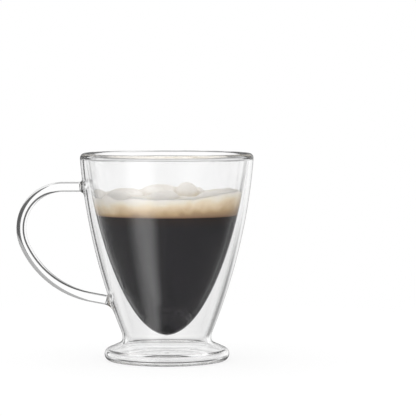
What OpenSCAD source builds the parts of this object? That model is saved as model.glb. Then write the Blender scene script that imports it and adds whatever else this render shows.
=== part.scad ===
// Double-walled glass mug: an egg-shaped bowl hung by its rim inside a footed shell, with a bent rod handle.
// Millimetres, +Z up. The origin is on the mug's axis, at the height of the table that it stands on.
// The handle points to -X.

/* [Mug] */
// Height from the table to the top of the rim
cup_h = 114.5; // [110:0.5:120]
// Outside diameter of the rim
rim_d = 95.5; // [92:0.5:98]
// Height of the solid glass rim above the two walls that it joins
rim_h = 3.5; // [3:0.25:5]

/* [Outer shell] */
// Thickness of the outer wall
shell_t = 2.3; // [1.8:0.1:2.6]
// Outside diameter at the waist, just above the foot
waist_d = 49; // [46:0.2:52]
// Height of the waist above the table
waist_z = 12.3; // [11.5:0.1:14]
// Lean of the wall from upright where it runs into the waist, in degrees
waist_lean = 22; // [20:0.5:24]
// Radius of the waist's curve above its narrowest point
waist_upper_r = 10; // [8:0.5:14]
// Radius of the waist's curve below its narrowest point
waist_lower_r = 3; // [2.5:0.1:3.4]

/* [Foot] */
// Outside diameter of the foot
foot_d = 69; // [67:0.5:72]
// Radius of the foot's rounded edge
foot_edge_r = 3.6; // [3:0.1:4]
// Width of the flat ring that the mug stands on
foot_ring_w = 3; // [2.5:0.1:4]
// Thickness of the disc that closes the foot
base_t = 2; // [1.6:0.1:2.4]
// Height of the disc's underside above the table
base_lift = 0.8; // [0.6:0.1:1]
// Diameter of the vent in the disc, melted shut with a bead of glass
vent_d = 4; // [3:0.2:6]

/* [Bowl] */
// Thickness of the inner wall
bowl_t = 1.6; // [1.4:0.1:1.9]
// Height of the bowl's lowest point, on its outside
bowl_z = 14.4; // [13:0.1:17]
// Outside diameter of the bowl at half its height
bowl_mid_d = 68.2; // [66.4:0.2:69]
// Width of the air gap between the two walls, just under the rim
rim_gap = 1; // [0.8:0.1:1.6]

/* [Handle] */
// Diameter of the glass rod
rod_d = 5.4; // [5:0.1:6.4]
// Height of the rod's centre where its top end joins the shell
handle_z = 95.9; // [92:0.1:97]
// Distance from the mug's axis to where the rod starts to bend
handle_bend_x = 57.3; // [55:0.1:60]
// Radius of the tight bend at the top of the handle
shoulder_r = 23; // [21:0.5:24]
// Angle that the tight bend turns through, in degrees
shoulder_turn = 114.5; // [112:0.5:117]
// Radius of the long bend back to the shell
sweep_r = 50; // [48:0.5:54]
// Angle that the long bend turns through, in degrees
sweep_turn = 54.7; // [52:0.1:58]
// Length of the bead of glass that melts an end of the rod to the shell
weld_h = 2.4; // [2:0.1:3]
// Radius of the bead's hollow curve, next to the rod
weld_r = 2.6; // [2.2:0.1:3]
// Angle that the bead flares to at the shell, in degrees
weld_flare = 50; // [40:1:55]

/* [Hidden] */
$fn = 96;
wall_steps = 24;
bend_steps = 10;
bowl_steps = 40;
rim_steps = 16;
weld_steps = 8;
cut_sides = 360;
seam_lap = 0.1;
seam_proud = 0.01;

rim_r = rim_d / 2;
waist_r = waist_d / 2;
foot_r = foot_d / 2;
rod_r = rod_d / 2;
rim_z = cup_h - rim_h;
foot_ring_r = foot_r - foot_edge_r - foot_ring_w;
glass = [0.86, 0.9, 0.91, 0.4];
bead_glass = [0.8, 0.86, 0.88, 0.6];

// The wall is one long arc, tangent to the waist's curve below and ending at the rim.
waist_top = [waist_r + waist_upper_r * (1 - cos(waist_lean)), waist_z + waist_upper_r * sin(waist_lean)];
wall_chord = [rim_r, rim_z] - waist_top;
rim_lean = 2 * atan2(wall_chord.x, wall_chord.y) - waist_lean;
wall_r = wall_chord.y / (sin(waist_lean) - sin(rim_lean));
wall_c = waist_top - wall_r * [cos(waist_lean), -sin(waist_lean)];

// The foot's slope is the line that touches both the waist's lower curve and the foot's rounded edge.
waist_upper_c = [waist_r + waist_upper_r, waist_z];
waist_lower_c = [waist_r + waist_lower_r, waist_z];
foot_edge_c = [foot_r - foot_edge_r, foot_edge_r];
foot_span = foot_edge_c - waist_lower_c;
foot_slope = atan2(foot_span.y, foot_span.x) + asin((waist_lower_r + foot_edge_r) / norm(foot_span));

function on_circle(centre, r, angle) = centre + r * [cos(angle), sin(angle)];
function arc(centre, r, from, to, steps) =
    [for (i = [0 : steps]) on_circle(centre, r, from + (to - from) * i / steps)];

// The shell's outline from the rim down to the table, moved into the glass by depth.
function shell_line(depth) = concat(
    arc(wall_c, wall_r - depth, -rim_lean, -waist_lean, wall_steps),
    arc(waist_upper_c, waist_upper_r + depth, 180 - waist_lean, 180, bend_steps),
    arc(waist_lower_c, waist_lower_r + depth, 180, 270 + foot_slope, bend_steps),
    arc(foot_edge_c, foot_edge_r - depth, 90 + foot_slope, -90, bend_steps));

// The bowl's outline is a parabola that draws in towards the rim, through its width at half height and at
// the rim. The share s runs from 0, the lowest point, to 1, the rim, and depth moves the point into the
// glass, square to the wall.
bowl_h = rim_z - bowl_z;
bowl_top_r = shell_line(shell_t)[0].x - rim_gap;
bowl_ease = (bowl_mid_d ^ 2 / 2 - bowl_top_r ^ 2) / (0.75 * bowl_h);
bowl_full = bowl_top_r ^ 2 / bowl_h + bowl_ease;
function bowl_swell(s) = sqrt(bowl_full - bowl_ease * s ^ 4);
function bowl_at(s) = [sqrt(bowl_h) * s * bowl_swell(s), bowl_z + bowl_h * s ^ 2];
function bowl_run(s) =
    [sqrt(bowl_h) * (bowl_swell(s) - 2 * bowl_ease * s ^ 4 / bowl_swell(s)), 2 * bowl_h * s];
function bowl_normal(s) = [bowl_run(s).y, -bowl_run(s).x] / norm(bowl_run(s));
function bowl_point(s, depth) = bowl_at(s) - depth * bowl_normal(s);
function bowl_line(depth) = [for (i = [0 : bowl_steps]) bowl_point(i / bowl_steps, depth)];

function reversed(list) = [for (i = [len(list) - 1 : -1 : 0]) list[i]];

// The rod's route, as points in the X-Z plane: along the top, round the shoulder, back along the sweep.
shoulder_c = [-handle_bend_x, handle_z - shoulder_r];
shoulder_end = 90 + shoulder_turn;
sweep_start = on_circle(shoulder_c, shoulder_r, shoulder_end);
sweep_c = on_circle(sweep_start, sweep_r, shoulder_end + 180);
sweep_end = shoulder_end + sweep_turn;
tail_start = on_circle(sweep_c, sweep_r, sweep_end);
tail_heading = sweep_end - 270;
top_start = [-handle_bend_x, handle_z];
top_heading = 0;

// Distance from a point to the shell's wall, going along a heading in the X-Z plane.
wall_c_handle_side = [-wall_c.x, wall_c.y];
function to_wall(from, heading) =
    let (way = [cos(heading), sin(heading)], gap = from - wall_c_handle_side, near = gap * way)
    -near - sqrt(near ^ 2 - gap * gap + wall_r ^ 2);

// Where a straight end of the rod stops, a bead's length from the wall.
function rod_end(from, heading) = on_circle(from, to_wall(from, heading) - weld_h, heading);
// A bead's heading, halfway between the rod's own and square to the wall.
function weld_heading(from, heading) =
    let (inwards = wall_c_handle_side - rod_end(from, heading))
    (heading + atan2(inwards.y, inwards.x)) / 2;

// Puts a shape that stands on Z at a point of the X-Z plane, with its Z axis along a heading.
module along(point, heading)
    translate([point.x, 0, point.y]) rotate([0, 90 - heading, 0]) children();

// Part of a ring of rod in the X-Z plane, round a centre, from one angle to another.
module rod_bend(centre, r, from, to)
    translate([centre.x, 0, centre.y]) rotate([90, 0, 0]) rotate([0, 0, from])
        rotate_extrude(angle = to - from) translate([r, 0]) circle(rod_r);

// A band over the seam between two stretches of rod, which makes them one solid.
module rod_seam(point, heading)
    along(on_circle(point, -seam_lap, heading), heading) cylinder(r = rod_r + seam_proud, h = 2 * seam_lap);

// The space that the shell fills with everything inside it.
module shell_form()
    rotate_extrude($fn = cut_sides) polygon(concat([[0, rim_z]], shell_line(0), [[0, 0]]));

// A straight end of the rod, long enough to be cut off square to the bead that it runs into.
module rod_straight(from, heading)
    difference() {
        along(from, heading) cylinder(r = rod_r, h = to_wall(from, heading));
        along(rod_end(from, heading), weld_heading(from, heading)) cylinder(r = 3 * rod_r, h = 3 * weld_h);
    }

// A bead that flares from the rod's end to the shell, melted to both.
module weld(from, heading) {
    curve = arc([rod_r + weld_r, 0], weld_r, 180, 180 - weld_flare, weld_steps);
    curve_end = curve[weld_steps];
    inside_h = 3 * weld_h;
    inside_r = curve_end.x + (inside_h - curve_end.y) * tan(weld_flare);
    difference() {
        along(rod_end(from, heading), weld_heading(from, heading)) rotate_extrude($fn = cut_sides)
            polygon(concat([[0, 0]], curve, [[inside_r, inside_h], [0, inside_h]]));
        shell_form();
    }
}

module inner_bowl()
    color(glass) rotate_extrude()
        polygon(concat(bowl_line(0), reversed(bowl_line(bowl_t))));

module outer_shell()
    color(glass) rotate_extrude()
        polygon(concat(shell_line(0), [[foot_ring_r, 0], [foot_ring_r, shell_t]],
                       reversed(shell_line(shell_t))));

// The lip where the two walls are melted together. It bridges the air gap and has a full round top.
module rim_weld() {
    lip_inside = bowl_point(1, bowl_t);
    lip_r = (rim_r - lip_inside.x) / 2;
    lip = arc([rim_r - lip_r, cup_h - lip_r], lip_r, 0, 180, rim_steps);
    shell_inside = shell_line(shell_t)[0];
    color(glass) rotate_extrude()
        polygon(concat([bowl_point(1, 0), shell_inside, [rim_r, rim_z]], lip, [lip_inside]));
}

// The disc melted into the foot's ring, with its vent.
module base_disc()
    color(glass) rotate_extrude()
        translate([vent_d / 2, base_lift]) square([foot_ring_r - vent_d / 2, base_t]);

// The bead that closes the vent, with a domed top inside the air space.
module vent_seal() {
    dome_h = vent_d / 4;
    dome_r = (vent_d ^ 2 / 4 + dome_h ^ 2) / (2 * dome_h);
    dome_side = asin(vent_d / 2 / dome_r);
    dome = arc([0, base_lift + base_t + dome_h - dome_r], dome_r, 90 - dome_side, 90, bend_steps);
    color(bead_glass) rotate_extrude()
        polygon(concat([[0, base_lift], [vent_d / 2, base_lift]], dome));
}

module handle()
    color(glass) {
        rod_straight(top_start, top_heading);
        rod_bend(shoulder_c, shoulder_r, 90, shoulder_end);
        rod_bend(sweep_c, sweep_r, shoulder_end, sweep_end);
        rod_straight(tail_start, tail_heading);
        rod_seam(top_start, top_heading);
        rod_seam(sweep_start, shoulder_end + 90);
        rod_seam(tail_start, tail_heading);
    }

module upper_handle_weld()
    color(bead_glass) weld(top_start, top_heading);

module lower_handle_weld()
    color(bead_glass) weld(tail_start, tail_heading);

inner_bowl();
outer_shell();
rim_weld();
base_disc();
vent_seal();
handle();
upper_handle_weld();
lower_handle_weld();
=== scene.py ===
"""The looks of a double-walled glass mug: fused clear glass that holds coffee under milk foam, on a white floor."""

from math import asin, atan2, ceil, cos, hypot, pi, radians, sin, sqrt

import bpy
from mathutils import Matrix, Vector, noise


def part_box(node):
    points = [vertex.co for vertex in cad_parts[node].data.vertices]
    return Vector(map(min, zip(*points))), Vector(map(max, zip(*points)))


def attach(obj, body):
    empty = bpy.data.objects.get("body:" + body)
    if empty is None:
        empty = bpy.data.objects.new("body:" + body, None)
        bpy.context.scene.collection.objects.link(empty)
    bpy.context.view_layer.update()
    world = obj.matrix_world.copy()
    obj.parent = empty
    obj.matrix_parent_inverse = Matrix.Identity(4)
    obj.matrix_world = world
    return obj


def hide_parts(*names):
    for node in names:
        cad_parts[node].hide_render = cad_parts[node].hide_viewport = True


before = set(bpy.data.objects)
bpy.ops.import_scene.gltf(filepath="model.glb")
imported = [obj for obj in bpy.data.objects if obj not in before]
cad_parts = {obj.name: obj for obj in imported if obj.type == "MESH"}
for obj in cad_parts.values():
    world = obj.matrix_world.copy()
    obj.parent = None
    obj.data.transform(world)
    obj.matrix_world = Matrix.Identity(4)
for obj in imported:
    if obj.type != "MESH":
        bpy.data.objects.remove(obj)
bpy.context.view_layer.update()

MM = 0.001

# Sizes of the mug in metres. Heights and widths that a node's box gives come from the frame.
CUP_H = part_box("rim_weld")[1].z
RIM_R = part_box("rim_weld")[1].x
RIM_H = 3.5 * MM
RIM_Z = CUP_H - RIM_H
RIM_GAP = 1 * MM
SHELL_T = 2.3 * MM
FOOT_R = 34.5 * MM
FOOT_EDGE_R = 3.6 * MM
FOOT_RING_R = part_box("base_disc")[1].x
WAIST_R = 24.5 * MM
WAIST_Z = 12.3 * MM
WAIST_LEAN = radians(22)
WAIST_UPPER_R = 10 * MM
WAIST_LOWER_R = 3 * MM
BASE_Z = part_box("base_disc")[0].z
BASE_TOP_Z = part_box("base_disc")[1].z
VENT_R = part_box("vent_seal")[1].x
VENT_TOP_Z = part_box("vent_seal")[1].z
BOWL_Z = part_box("inner_bowl")[0].z
BOWL_T = 1.6 * MM
BOWL_MID_R = 34.1 * MM
ROD_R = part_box("handle")[1].y
HANDLE_Z = 95.9 * MM
HANDLE_BEND_X = -57.3 * MM
SHOULDER_R = 23 * MM
SHOULDER_TURN = radians(114.5)
SWEEP_R = 50 * MM
SWEEP_TURN = radians(54.7)
WELD_H = 2.4 * MM

# Details of melted glass, which only the looks have
VAULT_H = 0.8 * MM
DISC_FILLET = 0.6 * MM
DISC_EASE = 3 * MM
VENT_DOME = 0.3
RIM_WAVE = 0.1 * MM
RIM_WAVE_RATE = 6
WELD_SPREAD = 1.15
WELD_LEAST = 0.6 * MM
WELD_SEARCH = (-6 * MM, 16 * MM)

# The drink in the mug. It reaches a little into the bowl's glass, so that no air shows between them.
COFFEE_Z = 81 * MM
WET_LAP = 0.2 * MM
WET_DEPTH = BOWL_T - WET_LAP
FOAM_Z = 92.5 * MM
FOAM_EDGE_R = 0.8 * MM
FOAM_SOFT_W = 12 * MM
FOAM_TONE_H = 16 * MM
# How fast the foam's tones change towards the right, per metre, and how much faster in the bank
FOAM_LEAN, BANK_LEAN = -2.6, -5
# Painted shade in the foam's creases: how far round a place a crease is looked for, the crease depth that gets full
# shade, and the shade's share on level foam
HOLLOW_REACH = 2.6 * MM
HOLLOW_DEPTH = 1.3 * MM
CREASE_SHADE_LEVEL = 0.35

# The foam's top in millimetres: a level part, a bank at its right end, lumps and puffs
LEVEL_Z, LEVEL_BACK_RISE = 91, 0.8
BANK_X, BANK_W, BANK_H, BANK_BACK_DROP = 14, 22, 4.2, 2
PUFF_BLEND = 1.7
PUFF_POWER = 0.6
# Height, place in the noise and rate of each size of lump
LUMPS = [(1.1, 4, 0.12), (0.45, 0, 0.2), (0.22, 9, 0.55)]
# x, y, half width, half depth, height of the foot and height above the foot
PUFFS = [
    (-22.5, -2, 11, 11, 91, 4.5), (-25.5, -20, 7.5, 9, 90.6, 4), (-3.5, 3, 13, 11, 91.2, 6.1),
    (-2, -25, 9.5, 9, 90.4, 4.4), (10.6, -3, 6.6, 6.6, 92, 7.6), (3.8, 0, 7, 7, 91.5, 4.8),
    (17.8, 3, 3.6, 4, 91.6, 3.6), (23, -21, 8, 8.5, 90.4, 4.1), (-39, 0, 6, 14, 91, 3.7),
    (-14, 17, 11, 11, 90.5, 3.2), (8, 24, 12, 9, 90.5, 3), (26, 12, 12, 10, 90.5, 2.6),
    (-30, 14, 9, 10, 90.5, 2.6), (12, -31, 7, 6, 90, 1.8), (-15, -31, 7, 6, 90, 1.6)]

# The studio: sizes in metres, strengths where 1 is white, and the directions of two soft lights
FLOOR_R = 0.34
FLOOR_FADE = (FLOOR_R - 0.12, FLOOR_R - 0.005)
FLOOR_GLOW = 0.8
PANEL = 1.2
SOFTBOX = 1.4
KEY_FROM = (-0.35, -0.3, 0.89)
FILL_FROM = (0.2, -0.9, 0.35)
CAMERA_AIM = Vector((22.7 * MM, 0, 84.2 * MM))
CAMERA_AWAY = 1.3
CAMERA_Z = 0.157
CAMERA_LENS = 204.3

# How finely the shapes are drawn
TURN_STEPS = 192
EVEN_TURNS = [2 * pi * i / TURN_STEPS for i in range(TURN_STEPS)]
WALL_STEPS = 60
WAIST_UPPER_STEPS = 12
WAIST_LOWER_STEPS = 14
FOOT_EDGE_STEPS = 28
BOWL_STEPS = 80
COFFEE_STEPS = 60
LIP_STEPS = 32
VAULT_STEPS = 16
FILLET_STEPS = 8
EASE_STEPS = 16
DOME_STEPS = 8
ROD_SIDES = 48
ROD_TURNS = [2 * pi * i / ROD_SIDES for i in range(ROD_SIDES)]
SHOULDER_STEPS = 70
SWEEP_STEPS = 50
BEAD_STEPS = 12
SEAT_STEPS = 6
FOAM_SIDE_STEPS = 14
FOAM_ROUND_STEPS = 5
FOAM_TOP_STEPS = 64
HALVINGS = 40
SHARP_ANGLE = radians(35)
# The shell is drawn finer where the handle is melted on.
WELD_SPANS = [(88 * MM, 104 * MM), (24 * MM, 44 * MM)]
WELD_STEP = 0.4 * MM
WELD_HALF_TURN = radians(14)


# Outlines, as points of (radius, height)

def on_circle(centre, r, angle):
    return Vector((centre[0] + r * cos(angle), centre[1] + r * sin(angle)))


def arc(centre, r, start, end, steps):
    return [on_circle(centre, r, start + (end - start) * i / steps) for i in range(steps + 1)]


def last_where(is_before, low, high):
    """The place between low and high up to which is_before holds, found by halving."""
    for _ in range(HALVINGS):
        middle = (low + high) / 2
        if is_before(middle):
            low = middle
        else:
            high = middle
    return low


WAIST_TOP = Vector((WAIST_R + WAIST_UPPER_R * (1 - cos(WAIST_LEAN)), WAIST_Z + WAIST_UPPER_R * sin(WAIST_LEAN)))
WALL_CHORD = Vector((RIM_R, RIM_Z)) - WAIST_TOP
RIM_LEAN = 2 * atan2(WALL_CHORD.x, WALL_CHORD.y) - WAIST_LEAN
WALL_R = WALL_CHORD.y / (sin(WAIST_LEAN) - sin(RIM_LEAN))
WALL_C = WAIST_TOP - WALL_R * Vector((cos(WAIST_LEAN), -sin(WAIST_LEAN)))
WAIST_UPPER_C = (WAIST_R + WAIST_UPPER_R, WAIST_Z)
WAIST_LOWER_C = (WAIST_R + WAIST_LOWER_R, WAIST_Z)
FOOT_EDGE_C = (FOOT_R - FOOT_EDGE_R, FOOT_EDGE_R)
FOOT_SPAN = Vector(FOOT_EDGE_C) - Vector(WAIST_LOWER_C)
FOOT_SLOPE = atan2(FOOT_SPAN.y, FOOT_SPAN.x) + asin((WAIST_LOWER_R + FOOT_EDGE_R) / FOOT_SPAN.length)


def wall_angles():
    """Steps along the long wall, finer where the handle is melted on."""
    angles = {-RIM_LEAN + (RIM_LEAN - WAIST_LEAN) * i / WALL_STEPS for i in range(WALL_STEPS + 1)}
    for low, high in WELD_SPANS:
        steps = ceil((high - low) / WELD_STEP)
        angles |= {asin((low + (high - low) * i / steps - WALL_C.y) / WALL_R) for i in range(steps + 1)}
    return sorted(angles, reverse=True)


def shell_line(depth):
    """The shell's outline from the rim down to the table, moved into the glass by depth."""
    return ([on_circle(WALL_C, WALL_R - depth, angle) for angle in wall_angles()]
            + arc(WAIST_UPPER_C, WAIST_UPPER_R + depth, pi - WAIST_LEAN, pi, WAIST_UPPER_STEPS)[1:]
            + arc(WAIST_LOWER_C, WAIST_LOWER_R + depth, pi, 1.5 * pi + FOOT_SLOPE, WAIST_LOWER_STEPS)[1:]
            + arc(FOOT_EDGE_C, FOOT_EDGE_R - depth, pi / 2 + FOOT_SLOPE, -pi / 2, FOOT_EDGE_STEPS))


def wall_radius(z):
    """Radius of the shell's outside at a height on its long wall."""
    return WALL_C.x + sqrt(WALL_R ** 2 - (z - WALL_C.y) ** 2)


BOWL_H = RIM_Z - BOWL_Z
BOWL_TOP_R = shell_line(SHELL_T)[0].x - RIM_GAP
BOWL_EASE = (2 * BOWL_MID_R ** 2 - BOWL_TOP_R ** 2) / (0.75 * BOWL_H)
BOWL_FULL = BOWL_TOP_R ** 2 / BOWL_H + BOWL_EASE


def bowl_point(s, depth):
    """A point of the bowl's outline, moved into the glass by depth. s is 0 at its lowest point and 1 at the rim."""
    swell = sqrt(BOWL_FULL - BOWL_EASE * s ** 4)
    run = Vector((sqrt(BOWL_H) * (swell - 2 * BOWL_EASE * s ** 4 / swell), 2 * BOWL_H * s)).normalized()
    return Vector((sqrt(BOWL_H) * s * swell - depth * run.y, BOWL_Z + BOWL_H * s * s + depth * run.x))


def bowl_line(depth, top=1.0, steps=BOWL_STEPS):
    return [bowl_point(top * i / steps, depth) for i in range(steps + 1)]


def bowl_share(z, depth):
    """The s at which the bowl's outline, moved in by depth, reaches a height."""
    return last_where(lambda s: bowl_point(s, depth).y < z, 0.0, 1.0)


# Node trees

class Nodes:
    """Fills one node tree. What goes into a socket is a value or another node's output."""

    def __init__(self, tree):
        self.tree = tree
        tree.nodes.clear()

    def set(self, node, inputs):
        """Sets or links a node's inputs, given by name or number."""
        for key, value in inputs.items():
            if isinstance(value, bpy.types.NodeSocket):
                self.tree.links.new(value, node.inputs[key])
            else:
                node.inputs[key].default_value = value

    def add(self, kind, inputs=(), **settings):
        node = self.tree.nodes.new(kind)
        for name, value in settings.items():
            setattr(node, name, value)
        self.set(node, dict(inputs))
        return node

    def math(self, operation, *values):
        return self.add("ShaderNodeMath", enumerate(values), operation=operation).outputs[0]

    def times(self, product, *others):
        for other in others:
            product = self.math("MULTIPLY", product, other)
        return product

    def share(self, value, low, high):
        """How far a value is on its way from low (0) to high (1)."""
        inputs = {"Value": value, "From Min": low, "From Max": high}
        return self.add("ShaderNodeMapRange", inputs).outputs["Result"]

    def step(self, value, low, high, low_value, high_value):
        """A smooth step from low_value to high_value as value goes from low to high."""
        inputs = {"Value": value, "From Min": low, "From Max": high, "To Min": low_value, "To Max": high_value}
        return self.add("ShaderNodeMapRange", inputs, interpolation_type="SMOOTHSTEP").outputs["Result"]

    def choose(self, switch, off, on):
        """off where the switch is 0, on where it is 1."""
        inputs = {"Factor": switch, "A": off, "B": on}
        return self.add("ShaderNodeMix", inputs, data_type="FLOAT").outputs["Result"]

    def ramp(self, value, stops):
        """A colour ramp through stops of (position, colour)."""
        ramp = self.add("ShaderNodeValToRGB", {"Fac": value})
        elements = ramp.color_ramp.elements
        while len(elements) < len(stops):
            elements.new(0.5)
        for element, (position, colour) in zip(elements, stops):
            element.position = position
            element.color = (*colour, 1)
        return ramp.outputs["Color"]

    def stain_and_shade(self, share, colour, stain_and_shade):
        """A colour that is multiplied by a darker colour where the share is 1: the coffee's haze, and the foam's
        painted crease shade.
        """
        inputs = {"Factor": share, "A": colour, "B": (*stain_and_shade, 1)}
        return self.add("ShaderNodeMix", inputs, data_type="RGBA", blend_type="MULTIPLY").outputs["Result"]


# Materials

def new_material(name):
    """A material with its nodes and its shader."""
    material = bpy.data.materials.new(name)
    material.use_nodes = True
    nodes = Nodes(material.node_tree)
    shader = nodes.add("ShaderNodeBsdfPrincipled")
    nodes.add("ShaderNodeOutputMaterial", {"Surface": shader.outputs["BSDF"]})
    return material, nodes, shader


def clear_glass():
    """Blown glass: clear, with painted shade that makes it grey where it is seen edge on."""
    material, nodes, shader = new_material("clear_glass")
    facing = nodes.add("ShaderNodeLayerWeight", {"Blend": 0.5}).outputs["Facing"]
    # Painted shade: the glass's colour turns grey where it is seen edge on, which draws dark lines along its
    # contours.
    painted_edge_shade = nodes.ramp(facing, [(0.85, (0.995, 0.995, 0.995)), (0.97, (0.4, 0.4, 0.4))])
    nodes.set(shader, {"Base Color": painted_edge_shade, "Roughness": 0, "IOR": 1.47, "Transmission Weight": 1})
    return material


def fused_face():
    """Where two pieces are melted together the glass has no surface, so the face doesn't show."""
    material, nodes, shader = new_material("fused_joint")
    nodes.set(shader, {"Alpha": 0})
    return material


def coffee_material():
    """Nearly black coffee with a faint haze, browner just below the foam."""
    material, nodes, shader = new_material("coffee")
    place = nodes.add("ShaderNodeTexCoord").outputs["Object"]
    split = nodes.add("ShaderNodeSeparateXYZ", {0: place})
    tone = nodes.ramp(nodes.share(split.outputs["Z"], 0, COFFEE_Z), [
        (0.0, (0.014, 0.012, 0.016)), (0.93, (0.012, 0.0105, 0.014)), (1.0, (0.025, 0.013, 0.009))])
    haze = nodes.add("ShaderNodeTexNoise", {"Vector": place, "Scale": 60, "Detail": 2}).outputs["Fac"]
    colour = nodes.stain_and_shade(haze, tone, (0.8, 0.78, 0.76))
    nodes.set(shader, {"Base Color": colour, "Roughness": 0.1, "Specular IOR Level": 0.1})
    return material


def foam_material():
    """Milk foam that goes from caramel at the coffee to white, with painted shade in its creases, and fine bubbles.
    """
    material, nodes, shader = new_material("milk_foam")
    place = nodes.add("ShaderNodeTexCoord").outputs["Object"]
    split = nodes.add("ShaderNodeSeparateXYZ", {0: place})
    to_right = split.outputs["X"]
    height = nodes.share(split.outputs["Z"], COFFEE_Z, COFFEE_Z + FOAM_TONE_H)

    # The tones wander up and down, and lie higher towards the right and in the bank.
    drift = nodes.add("ShaderNodeTexNoise", {"Vector": place, "Scale": 90, "Detail": 3}).outputs["Fac"]
    wander = nodes.times(nodes.math("SUBTRACT", drift, 0.5), 0.6)
    wander = nodes.math("ADD", wander, nodes.times(to_right, FOAM_LEAN))
    banked = nodes.math("MAXIMUM", nodes.math("SUBTRACT", to_right, BANK_X * MM), 0)
    wander = nodes.math("ADD", wander, nodes.times(banked, BANK_LEAN))
    wander = nodes.times(wander, nodes.step(height, 0, 0.15, 0.1, 1))
    paleness = nodes.math("MAXIMUM", nodes.math("ADD", height, wander), nodes.times(height, 0.6))
    tone = nodes.ramp(paleness, [
        (0.0, (0.22, 0.12, 0.065)), (0.03, (0.30, 0.19, 0.11)), (0.13, (0.52, 0.37, 0.21)),
        (0.27, (0.70, 0.55, 0.36)), (0.41, (0.83, 0.72, 0.54)), (0.54, (0.89, 0.84, 0.73)),
        (0.68, (0.90, 0.87, 0.825))])

    # Painted shade: the foam's colour is darkened in its creases, and a little on level foam, by the crease shade
    # stored on its points.
    hollow = nodes.add("ShaderNodeAttribute", attribute_name="hollow").outputs["Fac"]
    colour = nodes.stain_and_shade(hollow, tone, (0.80, 0.765, 0.72))
    bubbles = nodes.add("ShaderNodeTexVoronoi", {"Vector": place, "Scale": 900}).outputs["Distance"]
    bump = nodes.add("ShaderNodeBump", {"Strength": 0.25, "Distance": 0.3 * MM, "Height": bubbles})
    nodes.set(shader, {"Base Color": colour, "Roughness": 0.6, "Specular IOR Level": 0.25,
                       "Normal": bump.outputs["Normal"]})
    return material


GLASS = (clear_glass(), fused_face())
COFFEE = (coffee_material(),)
FOAM = (foam_material(),)


# Meshes

def turn_outwards(piece):
    """Turns every face of a closed mesh outwards."""
    bpy.context.view_layer.objects.active = piece
    piece.select_set(True)
    bpy.ops.object.mode_set(mode="EDIT")
    bpy.ops.mesh.select_all(action="SELECT")
    bpy.ops.mesh.normals_make_consistent(inside=False)
    bpy.ops.object.mode_set(mode="OBJECT")
    piece.select_set(False)


def add_object(name, materials, vertices, faces, fused=()):
    """A smooth closed mesh. Faces numbered in fused are melted to the next piece and take the second material."""
    mesh = bpy.data.meshes.new(name)
    mesh.from_pydata([tuple(v) for v in vertices], [], faces)
    for material in materials:
        mesh.materials.append(material)
    for polygon in mesh.polygons:
        polygon.use_smooth = True
    for index in fused:
        mesh.polygons[index].material_index = 1
    mesh.update()
    mesh.set_sharp_from_angle(angle=SHARP_ANGLE)
    piece = bpy.data.objects.new(name, mesh)
    bpy.context.scene.collection.objects.link(piece)
    turn_outwards(piece)
    return piece


def grid_faces(rings, sides):
    """Faces between rings of points that are numbered ring by ring."""
    faces = []
    for k in range(rings - 1):
        for i in range(sides):
            j = (i + 1) % sides
            faces.append((k * sides + i, k * sides + j, (k + 1) * sides + j, (k + 1) * sides + i))
    return faces


def lathe(name, materials, outline, closed=True, fused_edges=(), turns=EVEN_TURNS, is_fused=None, wave=None):
    """Turns an outline round Z. An open outline starts and ends on the axis. The wave moves a point of the outline
    a little for each turn, as in glass shaped by hand."""
    vertices, faces, fused, rings = [], [], [], []
    sides = len(turns)
    for k, (r, z) in enumerate(outline):
        if r < 1e-9:
            rings.append([len(vertices)])
            vertices.append((0, 0, z))
            continue
        rings.append(list(range(len(vertices), len(vertices) + sides)))
        for turn in turns:
            move = wave(k, turn) if wave else Vector((0, 0))
            vertices.append(((r + move.x) * cos(turn), (r + move.x) * sin(turn), z + move.y))
    for k in range(len(rings) if closed else len(rings) - 1):
        low, high = rings[k], rings[(k + 1) % len(rings)]
        for i in range(sides):
            j = (i + 1) % sides
            melted = k in fused_edges
            if is_fused and not melted:
                melted = is_fused(k, (Vector(vertices[low[i]]) + Vector(vertices[high[j]])) / 2)
            if melted:
                fused.append(len(faces))
            if len(low) == 1:
                faces.append((low[0], high[j], high[i]))
            elif len(high) == 1:
                faces.append((low[i], low[j], high[0]))
            else:
                faces.append((low[i], low[j], high[j], high[i]))
    return add_object(name, materials, vertices, faces, fused)


# Pieces of glass

def make_inner_bowl():
    outside, inside = bowl_line(0), bowl_line(BOWL_T)
    outline = outside + inside[::-1]
    return lathe("inner_bowl_glass", GLASS, outline, closed=False, fused_edges={len(outside) - 1})


def make_outer_shell():
    """The shell, fused to the rim, to the disc and to the beads of the handle."""
    outside, inside = shell_line(0), shell_line(SHELL_T)
    seat = [Vector((FOOT_RING_R, z)) for z in (0, BASE_Z - DISC_FILLET, SHELL_T)]
    outline = outside + seat + inside[::-1]
    first_seat = len(outside)
    fine = ceil(2 * WELD_HALF_TURN * WAIST_TOP.x / WELD_STEP)
    turns = {pi + WELD_HALF_TURN * (2 * i / fine - 1) for i in range(fine + 1)}
    turns |= {turn for turn in EVEN_TURNS if abs(turn - pi) > WELD_HALF_TURN + pi / TURN_STEPS}

    def under_weld(edge, point):
        return edge < first_seat and any(weld.covers(point) for weld in (UPPER_WELD, LOWER_WELD))

    return lathe("outer_shell_glass", GLASS, outline, fused_edges={first_seat + 1, len(outline) - 1},
                 turns=sorted(turns), is_fused=under_weld)


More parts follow.
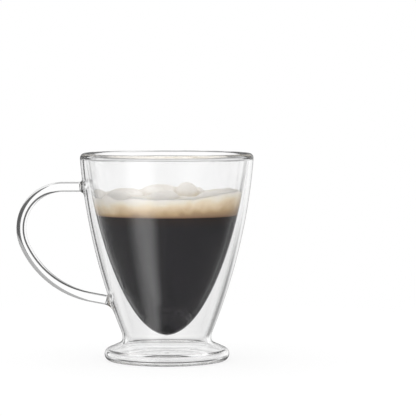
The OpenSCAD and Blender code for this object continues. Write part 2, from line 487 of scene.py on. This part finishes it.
def make_rim_weld():
    """The solid lip, a little wavy, over the rounded top of the air gap."""
    lip_inside = bowl_point(1, BOWL_T)
    lip_r = (RIM_R - lip_inside.x) / 2
    lip = arc((RIM_R - lip_r, CUP_H - lip_r), lip_r, 0, pi, LIP_STEPS)
    gap_r = RIM_GAP / 2
    vault = []
    for angle in [pi * i / VAULT_STEPS for i in range(VAULT_STEPS + 1)]:
        vault.append(Vector((BOWL_TOP_R + gap_r - gap_r * cos(angle), RIM_Z + VAULT_H * sin(angle))))
    outline = vault + [Vector((RIM_R, RIM_Z))] + lip + [lip_inside]
    first_lip = len(vault) + 1

    def wave(k, turn):
        share = (k - first_lip) / LIP_STEPS
        if not 0 < share < 1:
            return Vector((0, 0))
        angle = pi * share
        swing = noise.noise(Vector((RIM_WAVE_RATE * cos(turn), RIM_WAVE_RATE * sin(turn), 2 * share)))
        return RIM_WAVE * swing * sin(angle) * Vector((cos(angle), sin(angle)))

    return lathe("rim_weld_glass", GLASS, outline, fused_edges={len(vault) - 1, len(outline) - 1}, wave=wave)


def make_base_disc():
    """The disc, whose melted edge runs smoothly into the foot on both sides."""
    fillet = arc((FOOT_RING_R - DISC_FILLET, BASE_Z - DISC_FILLET), DISC_FILLET, pi / 2, 0, FILLET_STEPS)
    slope = []
    for share in [i / EASE_STEPS for i in range(EASE_STEPS + 1)]:
        z = SHELL_T + (BASE_TOP_Z - SHELL_T) * (1 - cos(pi * share)) / 2
        slope.append(Vector((FOOT_RING_R - DISC_EASE * share, z)))
    outline = [Vector((VENT_R, BASE_Z))] + fillet + slope + [Vector((VENT_R, BASE_TOP_Z))]
    return lathe("base_disc_glass", GLASS, outline, fused_edges={len(fillet), len(outline) - 1})


def make_vent_seal():
    """The bead in the disc's vent, melted down to a low dome."""
    dome_h = VENT_DOME * (VENT_TOP_Z - BASE_TOP_Z)
    dome_r = (VENT_R ** 2 + dome_h ** 2) / (2 * dome_h)
    side = asin(VENT_R / dome_r)
    dome = arc((0, BASE_TOP_Z + dome_h - dome_r), dome_r, pi / 2 - side, pi / 2, DOME_STEPS)
    dome[-1].x = 0
    outline = [Vector((0, BASE_Z)), Vector((VENT_R, BASE_Z))] + dome
    return lathe("vent_seal_glass", GLASS, outline, closed=False, fused_edges={1})


# The rod's route in the X-Z plane
SHOULDER_C = Vector((HANDLE_BEND_X, HANDLE_Z - SHOULDER_R))
SHOULDER_END = pi / 2 + SHOULDER_TURN
SWEEP_C = on_circle(on_circle(SHOULDER_C, SHOULDER_R, SHOULDER_END), SWEEP_R, SHOULDER_END + pi)
SWEEP_END = SHOULDER_END + SWEEP_TURN
TOP_START = Vector((HANDLE_BEND_X, HANDLE_Z))
TOP_HEADING = 0
TAIL_START = on_circle(SWEEP_C, SWEEP_R, SWEEP_END)
TAIL_HEADING = SWEEP_END - 1.5 * pi


def to_wall(start, heading):
    """Distance from a point to the shell's wall, along a heading in the X-Z plane."""
    way = Vector((cos(heading), sin(heading)))
    gap = start - Vector((-WALL_C.x, WALL_C.y))
    near = gap.dot(way)
    return -near - sqrt(near ** 2 - gap.dot(gap) + WALL_R ** 2)


def rod_end(start, heading):
    """Where the rod stops and its bead begins."""
    return on_circle(start, to_wall(start, heading) - WELD_H, heading)


def rod_ring(point, heading):
    """A circle of points round the rod, square to its heading."""
    across = Vector((-sin(heading), cos(heading)))
    ring = []
    for turn in ROD_TURNS:
        side = point + ROD_R * cos(turn) * across
        ring.append((side.x, ROD_R * sin(turn), side.y))
    return ring


def make_handle():
    """The bent rod, with a flat fused cap on each end."""
    stations = [(rod_end(TOP_START, TOP_HEADING), TOP_HEADING + pi)]
    for i in range(SHOULDER_STEPS + 1):
        angle = pi / 2 + SHOULDER_TURN * i / SHOULDER_STEPS
        stations.append((on_circle(SHOULDER_C, SHOULDER_R, angle), angle + pi / 2))
    for i in range(1, SWEEP_STEPS + 1):
        angle = SHOULDER_END + SWEEP_TURN * i / SWEEP_STEPS
        stations.append((on_circle(SWEEP_C, SWEEP_R, angle), angle + pi / 2))
    stations.append((rod_end(TAIL_START, TAIL_HEADING), TAIL_HEADING))
    vertices = [point for station in stations for point in rod_ring(*station)]
    faces = grid_faces(len(stations), ROD_SIDES)
    caps = [tuple(reversed(range(ROD_SIDES))), tuple(range(len(vertices) - ROD_SIDES, len(vertices)))]
    fused = range(len(faces), len(faces) + len(caps))
    return add_object("handle_glass", GLASS, vertices, faces + caps, fused)


class Weld:
    """A bead that runs out from the rod's end and lies tangent on the shell."""

    def __init__(self, name, start, heading):
        self.name = name
        end = rod_end(start, heading)
        self.origin = Vector((end.x, 0, end.y))
        self.way = Vector((cos(heading), 0, sin(heading)))
        self.up = Vector((-sin(heading), 0, cos(heading)))
        self.reach = [self.on_wall(ROD_R, turn) for turn in ROD_TURNS]
        self.spread = [ROD_R + WELD_SPREAD * max(reach, WELD_LEAST) for reach in self.reach]

    def place(self, along, rho, turn):
        """A point given by its place along the rod, and its distance and direction from the rod's axis."""
        return self.origin + along * self.way + rho * (cos(turn) * self.up + sin(turn) * Vector((0, 1, 0)))

    def on_wall(self, rho, turn):
        """How far along the rod the shell's wall lies."""
        def is_outside(along):
            point = self.place(along, rho, turn)
            return hypot(point.x, point.y) > wall_radius(point.z)

        return last_where(is_outside, *WELD_SEARCH)

    def covers(self, point):
        """Whether a point of the shell's wall lies under the bead."""
        gap = point - self.origin
        rho = hypot(gap.dot(self.up), gap.y)
        if gap.dot(self.way) < 0 or rho > max(self.spread):
            return False
        share = atan2(gap.y, gap.dot(self.up)) % (2 * pi) / (2 * pi) * ROD_SIDES
        first = int(share) % ROD_SIDES
        edge = self.spread[first] + (share % 1) * (self.spread[(first + 1) % ROD_SIDES] - self.spread[first])
        return point.x < 0 and rho < edge

    def make(self):
        """The bead's curved side, then its seat on the shell, as rings of points from the rod's end."""
        vertices = []
        for k in range(BEAD_STEPS + 1):
            t = k / BEAD_STEPS
            for turn, reach, spread in zip(ROD_TURNS, self.reach, self.spread):
                along = 2 * t * (1 - t) * reach + t * t * self.on_wall(spread, turn)
                vertices.append(self.place(along, (1 - t * t) * ROD_R + t * t * spread, turn))
        for k in range(1, SEAT_STEPS):
            for turn, spread in zip(ROD_TURNS, self.spread):
                rho = spread * (1 - k / SEAT_STEPS)
                vertices.append(self.place(self.on_wall(rho, turn), rho, turn))
        faces = grid_faces(BEAD_STEPS + SEAT_STEPS, ROD_SIDES)
        middle = len(vertices)
        last = middle - ROD_SIDES
        vertices.append(self.place(self.on_wall(0, 0), 0, 0))
        faces += [(last + i, last + (i + 1) % ROD_SIDES, middle) for i in range(ROD_SIDES)]
        faces.append(tuple(reversed(range(ROD_SIDES))))
        return add_object(self.name, GLASS, vertices, faces, range(BEAD_STEPS * ROD_SIDES, len(faces)))


UPPER_WELD = Weld("upper_weld_glass", TOP_START, TOP_HEADING)
LOWER_WELD = Weld("lower_weld_glass", TAIL_START, TAIL_HEADING)


# The drink

def make_coffee():
    outline = bowl_line(WET_DEPTH, bowl_share(COFFEE_Z, WET_DEPTH), COFFEE_STEPS)
    outline.append(Vector((0, COFFEE_Z)))
    return lathe("coffee", COFFEE, outline, closed=False)


def clamp(value):
    return min(max(value, 0), 1)


def between(value, low, high):
    """How far a value is on its way from low (0) to high (1)."""
    return clamp((value - low) / (high - low))


def smooth_max(a, b, width):
    h = max(width - abs(a - b), 0) / width
    return max(a, b) + h * h * width / 4


def foam_height(x, y):
    """Height of the foam's top. Places and the result are in metres, the work is in millimetres."""
    x, y = x / MM, y / MM
    z = LEVEL_Z + LEVEL_BACK_RISE * between(y, -20, 20)
    bank = between(x, BANK_X, BANK_X + BANK_W)
    z += (BANK_H - BANK_BACK_DROP * between(y, -25, 15)) * bank * bank * (3 - 2 * bank)
    for puff_x, puff_y, wide, deep, foot, rise in PUFFS:
        d = hypot((x - puff_x) / wide, (y - puff_y) / deep)
        if d < 1:
            z = smooth_max(z, foot + rise * (1 - d * d) ** PUFF_POWER, PUFF_BLEND)
    for rise, layer, rate in LUMPS:
        z += rise * noise.noise(Vector((x, y, layer)) * rate)
    return z * MM


def foam_hollow(x, y):
    """The painted shade at a place of the foam, by how deep it lies between the puffs round it: 0 on a crown, 1 in a
    deep crease.
    """
    ring = [foam_height(x + HOLLOW_REACH * cos(k * pi / 4), y + HOLLOW_REACH * sin(k * pi / 4)) for k in range(8)]
    return clamp(CREASE_SHADE_LEVEL + (sum(ring) / len(ring) - foam_height(x, y)) / HOLLOW_DEPTH)


def make_foam():
    """The foam's side on the glass, its rounded edge and its top, as rings of points up from the coffee."""
    vertices, hollows = [], []

    def side_r(z):
        return bowl_point(bowl_share(z, WET_DEPTH), WET_DEPTH).x

    def add_point(r, turn, z, hollow=0):
        vertices.append((r * cos(turn), r * sin(turn), z))
        hollows.append(hollow)

    crown_r = side_r(FOAM_Z) - FOAM_EDGE_R
    edge = []
    for turn in EVEN_TURNS:
        edge.append((turn, foam_height(crown_r * cos(turn), crown_r * sin(turn)) - FOAM_EDGE_R))
    for k in range(FOAM_SIDE_STEPS + 1):
        for turn, edge_z in edge:
            z = COFFEE_Z + (edge_z - COFFEE_Z) * k / FOAM_SIDE_STEPS
            add_point(side_r(z), turn, z)
    for k in range(1, FOAM_ROUND_STEPS + 1):
        bend = pi / 2 * k / FOAM_ROUND_STEPS
        for turn, edge_z in edge:
            edge_r = side_r(edge_z)
            add_point(edge_r + (crown_r - edge_r) * (1 - cos(bend)), turn, edge_z + FOAM_EDGE_R * sin(bend))
    for k in range(1, FOAM_TOP_STEPS):
        r = crown_r * (1 - k / FOAM_TOP_STEPS)
        for turn in EVEN_TURNS:
            x, y = r * cos(turn), r * sin(turn)
            # Each point of the top carries its painted crease shade, faded out towards the glass.
            add_point(r, turn, foam_height(x, y), foam_hollow(x, y) * min((crown_r - r) / FOAM_SOFT_W, 1))

    faces = grid_faces(FOAM_SIDE_STEPS + FOAM_ROUND_STEPS + FOAM_TOP_STEPS, TURN_STEPS)
    tip, base = len(vertices), len(vertices) + 1
    last = tip - TURN_STEPS
    add_point(0, 0, foam_height(0, 0), foam_hollow(0, 0))
    add_point(0, 0, COFFEE_Z)
    for i in range(TURN_STEPS):
        j = (i + 1) % TURN_STEPS
        faces += [(last + i, last + j, tip), (j, i, base)]
    foam = add_object("milk_foam", FOAM, vertices, faces)
    # The painted crease shade is stored on the points for the foam's material.
    foam.data.attributes.new("hollow", "FLOAT", "POINT").data.foreach_set("value", hollows)
    return foam


for make, node in [(make_inner_bowl, "inner_bowl"), (make_outer_shell, "outer_shell"), (make_rim_weld, "rim_weld"),
                   (make_base_disc, "base_disc"), (make_vent_seal, "vent_seal"), (make_handle, "handle"),
                   (UPPER_WELD.make, "upper_handle_weld"), (LOWER_WELD.make, "lower_handle_weld")]:
    piece = make()
    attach(piece, "root")
    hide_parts(node)
for make in (make_coffee, make_foam):
    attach(make(), "root")


# Studio

def make_floor():
    """A white floor that fades out at its edge. It glows towards the camera and keeps the mug's shadow."""
    bpy.ops.mesh.primitive_circle_add(vertices=128, radius=FLOOR_R, fill_type="TRIFAN", location=(0, 0, 0))
    floor = bpy.context.object
    floor.name = "floor"
    material = bpy.data.materials.new("white_floor")
    material.use_nodes = True
    nodes = Nodes(material.node_tree)
    place = nodes.add("ShaderNodeTexCoord").outputs["Object"]
    away = nodes.add("ShaderNodeVectorMath", {0: place}, operation="LENGTH").outputs["Value"]
    lift = nodes.times(nodes.add("ShaderNodeLightPath").outputs["Is Camera Ray"], FLOOR_GLOW)
    white = nodes.add("ShaderNodeBsdfDiffuse", {"Color": (0.97, 0.97, 0.97, 1)}).outputs["BSDF"]
    glow = nodes.add("ShaderNodeEmission").outputs["Emission"]
    clear = nodes.add("ShaderNodeBsdfTransparent").outputs["BSDF"]
    lifted = nodes.add("ShaderNodeMixShader", {"Fac": lift, 1: white, 2: glow}).outputs["Shader"]
    fade = nodes.step(away, *FLOOR_FADE, 0, 1)
    faded = nodes.add("ShaderNodeMixShader", {"Fac": fade, 1: lifted, 2: clear}).outputs["Shader"]
    nodes.add("ShaderNodeOutputMaterial", {"Surface": faded})
    floor.data.materials.append(material)
    floor.visible_glossy = False
    floor.visible_transmission = False


class Studio(Nodes):
    """White panels all round with narrow dark gaps, which draw the thin grey lines in the glass.

    How strong the light is depends on a ray's direction, in degrees to the left of where the camera looks and up
    from the level, on how many faces of glass the ray has crossed and on how often it was mirrored. Seen straight,
    2 faces are the solid rod or a single wall, 4 the air gap, 6 the lip and 8 the whole cup."""

    def __init__(self, tree):
        super().__init__(tree)
        self.way = self.add("ShaderNodeTexCoord").outputs["Generated"]
        split = self.add("ShaderNodeSeparateXYZ", {0: self.way})
        self.left = self.math("ARCTAN2", self.times(split.outputs["X"], -1), split.outputs["Y"])
        self.aside = self.math("ABSOLUTE", self.left)
        self.from_right = self.math("LESS_THAN", self.left, 0)
        self.up = self.math("ARCSINE", split.outputs["Z"])
        self.path = self.add("ShaderNodeLightPath").outputs
        self.crossed = self.path["Transmission Depth"]
        self.bounced = self.path["Glossy Depth"]
        self.crossed_is = {count: self.math("COMPARE", self.crossed, count, 0.5) for count in (2, 4, 6, 8)}

    def more(self, value, limit):
        return self.math("GREATER_THAN", value, limit)

    def most(self, a, b):
        return self.math("MAXIMUM", a, b)

    def dim(self, value, share):
        """A value with a share of it taken away."""
        return self.times(value, self.math("SUBTRACT", 1, share))

    def rise(self, angle, low, high, low_value=0, high_value=1):
        """A smooth step between two directions."""
        return self.step(angle, radians(low), radians(high), low_value, high_value)

    def band(self, angle, start, full, fade, end):
        """1 from full to fade, and 0 before start and after end."""
        return self.times(self.rise(angle, start, full), self.rise(angle, fade, end, 1, 0))

    def towards(self, direction):
        """How squarely a ray goes in a direction: 1 along it, -1 against it."""
        return self.add("ShaderNodeVectorMath", {0: self.way, 1: direction}, operation="DOT_PRODUCT").outputs["Value"]

    def seen_through_walls(self):
        """Panels and gaps over a pale table and under a grey ceiling, toned for the part of the mug they show in."""
        left, up, crossed_is = self.left, self.up, self.crossed_is
        gap_at = self.math("RADIANS", self.rise(up, -18, -16, 17, 28))
        from_gap = self.math("ABSOLUTE", self.math("SUBTRACT", self.math("PINGPONG", left, radians(45)), gap_at))
        gap = self.choose(self.times(crossed_is[2], self.from_right), 0.03, self.rise(up, -10, -6, 0.75, PANEL))
        gap = self.choose(crossed_is[4], gap, PANEL)
        panels = self.choose(self.rise(from_gap, 2.6, 4), gap, PANEL)
        table = self.times(self.rise(up, -15, -4, 0.8, 1), self.rise(up, -45, -28, 0.5, 1))
        ceiling = self.rise(up, 12, 26, 1, 0.45)
        in_air_gap = self.times(crossed_is[4], self.math("LESS_THAN", self.bounced, 0.5))
        air_gap = self.choose(in_air_gap, 1, self.rise(left, -25, -5, 0.74, 0.82))
        cup = self.choose(crossed_is[8], 1, 0.98)
        lip = self.choose(crossed_is[6], 1, self.rise(up, -11.5, -7, 0.42, 0.75))
        return self.times(panels, table, ceiling, air_gap, cup, lip)

    def seen_through_rod(self):
        """A dark flag on the right, a dark stripe on the left, and dimmer edges above and below."""
        left, up = self.left, self.up
        flag = self.choose(self.rise(up, 1, 3), self.choose(self.rise(up, -30, -27), 0.9, 0.1), 0.42)
        plain = self.choose(self.band(left, 12, 15, 27, 30), 1.05, 0.12)
        edges = self.times(self.rise(up, -36, -28, 0.5, 1), self.rise(up, 26, 34, 1, 0.55))
        edges = self.times(edges, self.rise(up, 50, 60, 1, 0.4))
        return self.choose(self.band(left, -82, -78, -5, -3), self.times(plain, edges), flag)

    def mirrored_outside(self):
        """What the outer faces mirror: a bright ceiling, a dim room with a paler wall on the right, and a dark table
        behind the mug."""
        left, up = self.left, self.up
        right_wall = self.times(self.band(left, -70, -50, -14, -4), self.rise(up, -16, -10))
        low = self.choose(right_wall, 0.22, 0.6)
        low = self.times(low, self.choose(self.rise(self.aside, 60, 90, 1, 0), 1, self.rise(up, -30, -14, 0.3, 1)))
        return self.choose(self.rise(up, 8, 26), low, 0.85)

    def mirrored_inside(self, through):
        """What a face within the glass mirrors: the panels behind the mug, or the dim room in front of it."""
        up, aside, crossed_is = self.up, self.aside, self.crossed_is
        behind = self.times(through, self.rise(up, -45, -20, 0.2, 1))
        room = self.rise(self.left, -20, 20, 0.15, 0.3)
        front = self.choose(self.more(self.crossed, 5), self.rise(up, -5, 10, 0.3, 0.85), room)
        inside = self.choose(self.rise(aside, 50, 88), behind, front)

        # A grey waist in a single wall, and the dark contour of the bowl
        waist = self.times(self.band(up, -24, -19, -14, -8), self.choose(self.from_right, 0.35, 0.6))
        inside = self.dim(inside, self.times(waist, crossed_is[2]))
        contour = self.choose(self.from_right, self.band(aside, 33, 36, 46, 50), self.band(aside, 18, 21, 32, 36))
        inside = self.dim(inside, self.times(contour, 0.9, crossed_is[6]))

        # Across the air gap, the bowl with a dark edge low down
        edge = self.choose(self.from_right, self.rise(aside, 28, 34, 0.15, 1), self.rise(aside, 38, 46, 0.15, 1))
        edge = self.most(edge, self.rise(up, -2, 1))
        on_bowl = self.choose(self.rise(aside, 28, 65), self.times(behind, edge), room)
        return self.choose(crossed_is[4], inside, on_bowl)

    def mirrored_again(self):
        """What is mirrored in the glass more than once. In a single wall it draws the foot's dark contour: a ray
        mirrored many times there is dark, unless it ends high up and either to a side or steeply."""
        up = self.up
        in_wall = self.most(self.rise(up, 16, 22, 0.05, 1.1), self.rise(up, -2, 2, 0.8, 0))
        from_side = self.times(self.rise(up, 30, 36), self.most(self.rise(self.aside, 12, 20), self.rise(up, 44, 52)))
        in_wall = self.choose(self.more(self.bounced, 7.5), in_wall, self.choose(from_side, 0.05, 1.1))
        in_walls = self.choose(self.more(self.crossed, 5), self.rise(up, -24, -12, 0.5, 1.1),
                               self.rise(up, -10, -4, 0.15, 1.1))
        return self.choose(self.crossed_is[2], in_walls, in_wall)

    def softbox(self):
        """The lamp at the front left. It shows only where few faces were crossed before."""
        lamp = self.times(self.band(self.left, 106, 142, 148, 177), SOFTBOX)
        return self.times(lamp, self.math("LESS_THAN", self.crossed, 5), self.rise(self.up, -72, -58))

    def on_drink(self):
        """What lights the floor and the drink: a key light from above, and from the front a fill light for what
        touches the bowl. The fill light is raised, because the walls take much of it."""
        key = self.math("ADD", 0.88, self.times(self.towards(KEY_FROM), 0.45))
        key = self.times(key, self.choose(self.crossed_is[8], 1, 1.2))
        fill = self.times(self.math("ADD", 0.55, self.times(self.towards(FILL_FROM), 0.6)), 3.8)
        return self.choose(self.crossed_is[6], key, fill)

    def light(self):
        """Puts the parts together. A ray straight from the camera sees white."""
        through = self.seen_through_walls()
        seen = self.choose(self.crossed_is[2], through, self.seen_through_rod())
        inside = self.choose(self.more(self.bounced, 1.5), self.mirrored_inside(through), self.mirrored_again())
        mirrored = self.choose(self.math("LESS_THAN", self.crossed, 0.5), inside, self.mirrored_outside())
        mirrored = self.most(self.softbox(), mirrored)
        lit = self.choose(self.more(self.bounced, 0.5), seen, mirrored)
        lit = self.choose(self.more(self.path["Diffuse Depth"], 0.5), lit, self.on_drink())
        strength = self.choose(self.path["Is Camera Ray"], lit, 1)
        background = self.add("ShaderNodeBackground", {"Color": (1, 1, 1, 1), "Strength": strength})
        self.add("ShaderNodeOutputWorld", {"Surface": background.outputs["Background"]})


def make_world():
    world = bpy.data.worlds.new("studio")
    bpy.context.scene.world = world
    world.use_nodes = True
    world.cycles.sampling_method = "NONE"
    Studio(world.node_tree).light()


def make_camera():
    """The photograph's view."""
    data = bpy.data.cameras.new("camera")
    camera = bpy.data.objects.new("camera", data)
    bpy.context.scene.collection.objects.link(camera)
    camera.location = (CAMERA_AIM.x, -CAMERA_AWAY, CAMERA_Z)
    camera.rotation_euler = (CAMERA_AIM - camera.location).to_track_quat("-Z", "Y").to_euler()
    data.sensor_width = 36
    data.lens = CAMERA_LENS
    bpy.context.scene.camera = camera


make_floor()
make_world()
make_camera()
scene = bpy.context.scene
scene.view_settings.view_transform = "Standard"
scene.cycles.max_bounces = 96
scene.cycles.transmission_bounces = 32
scene.cycles.glossy_bounces = 64
scene.cycles.transparent_max_bounces = 32
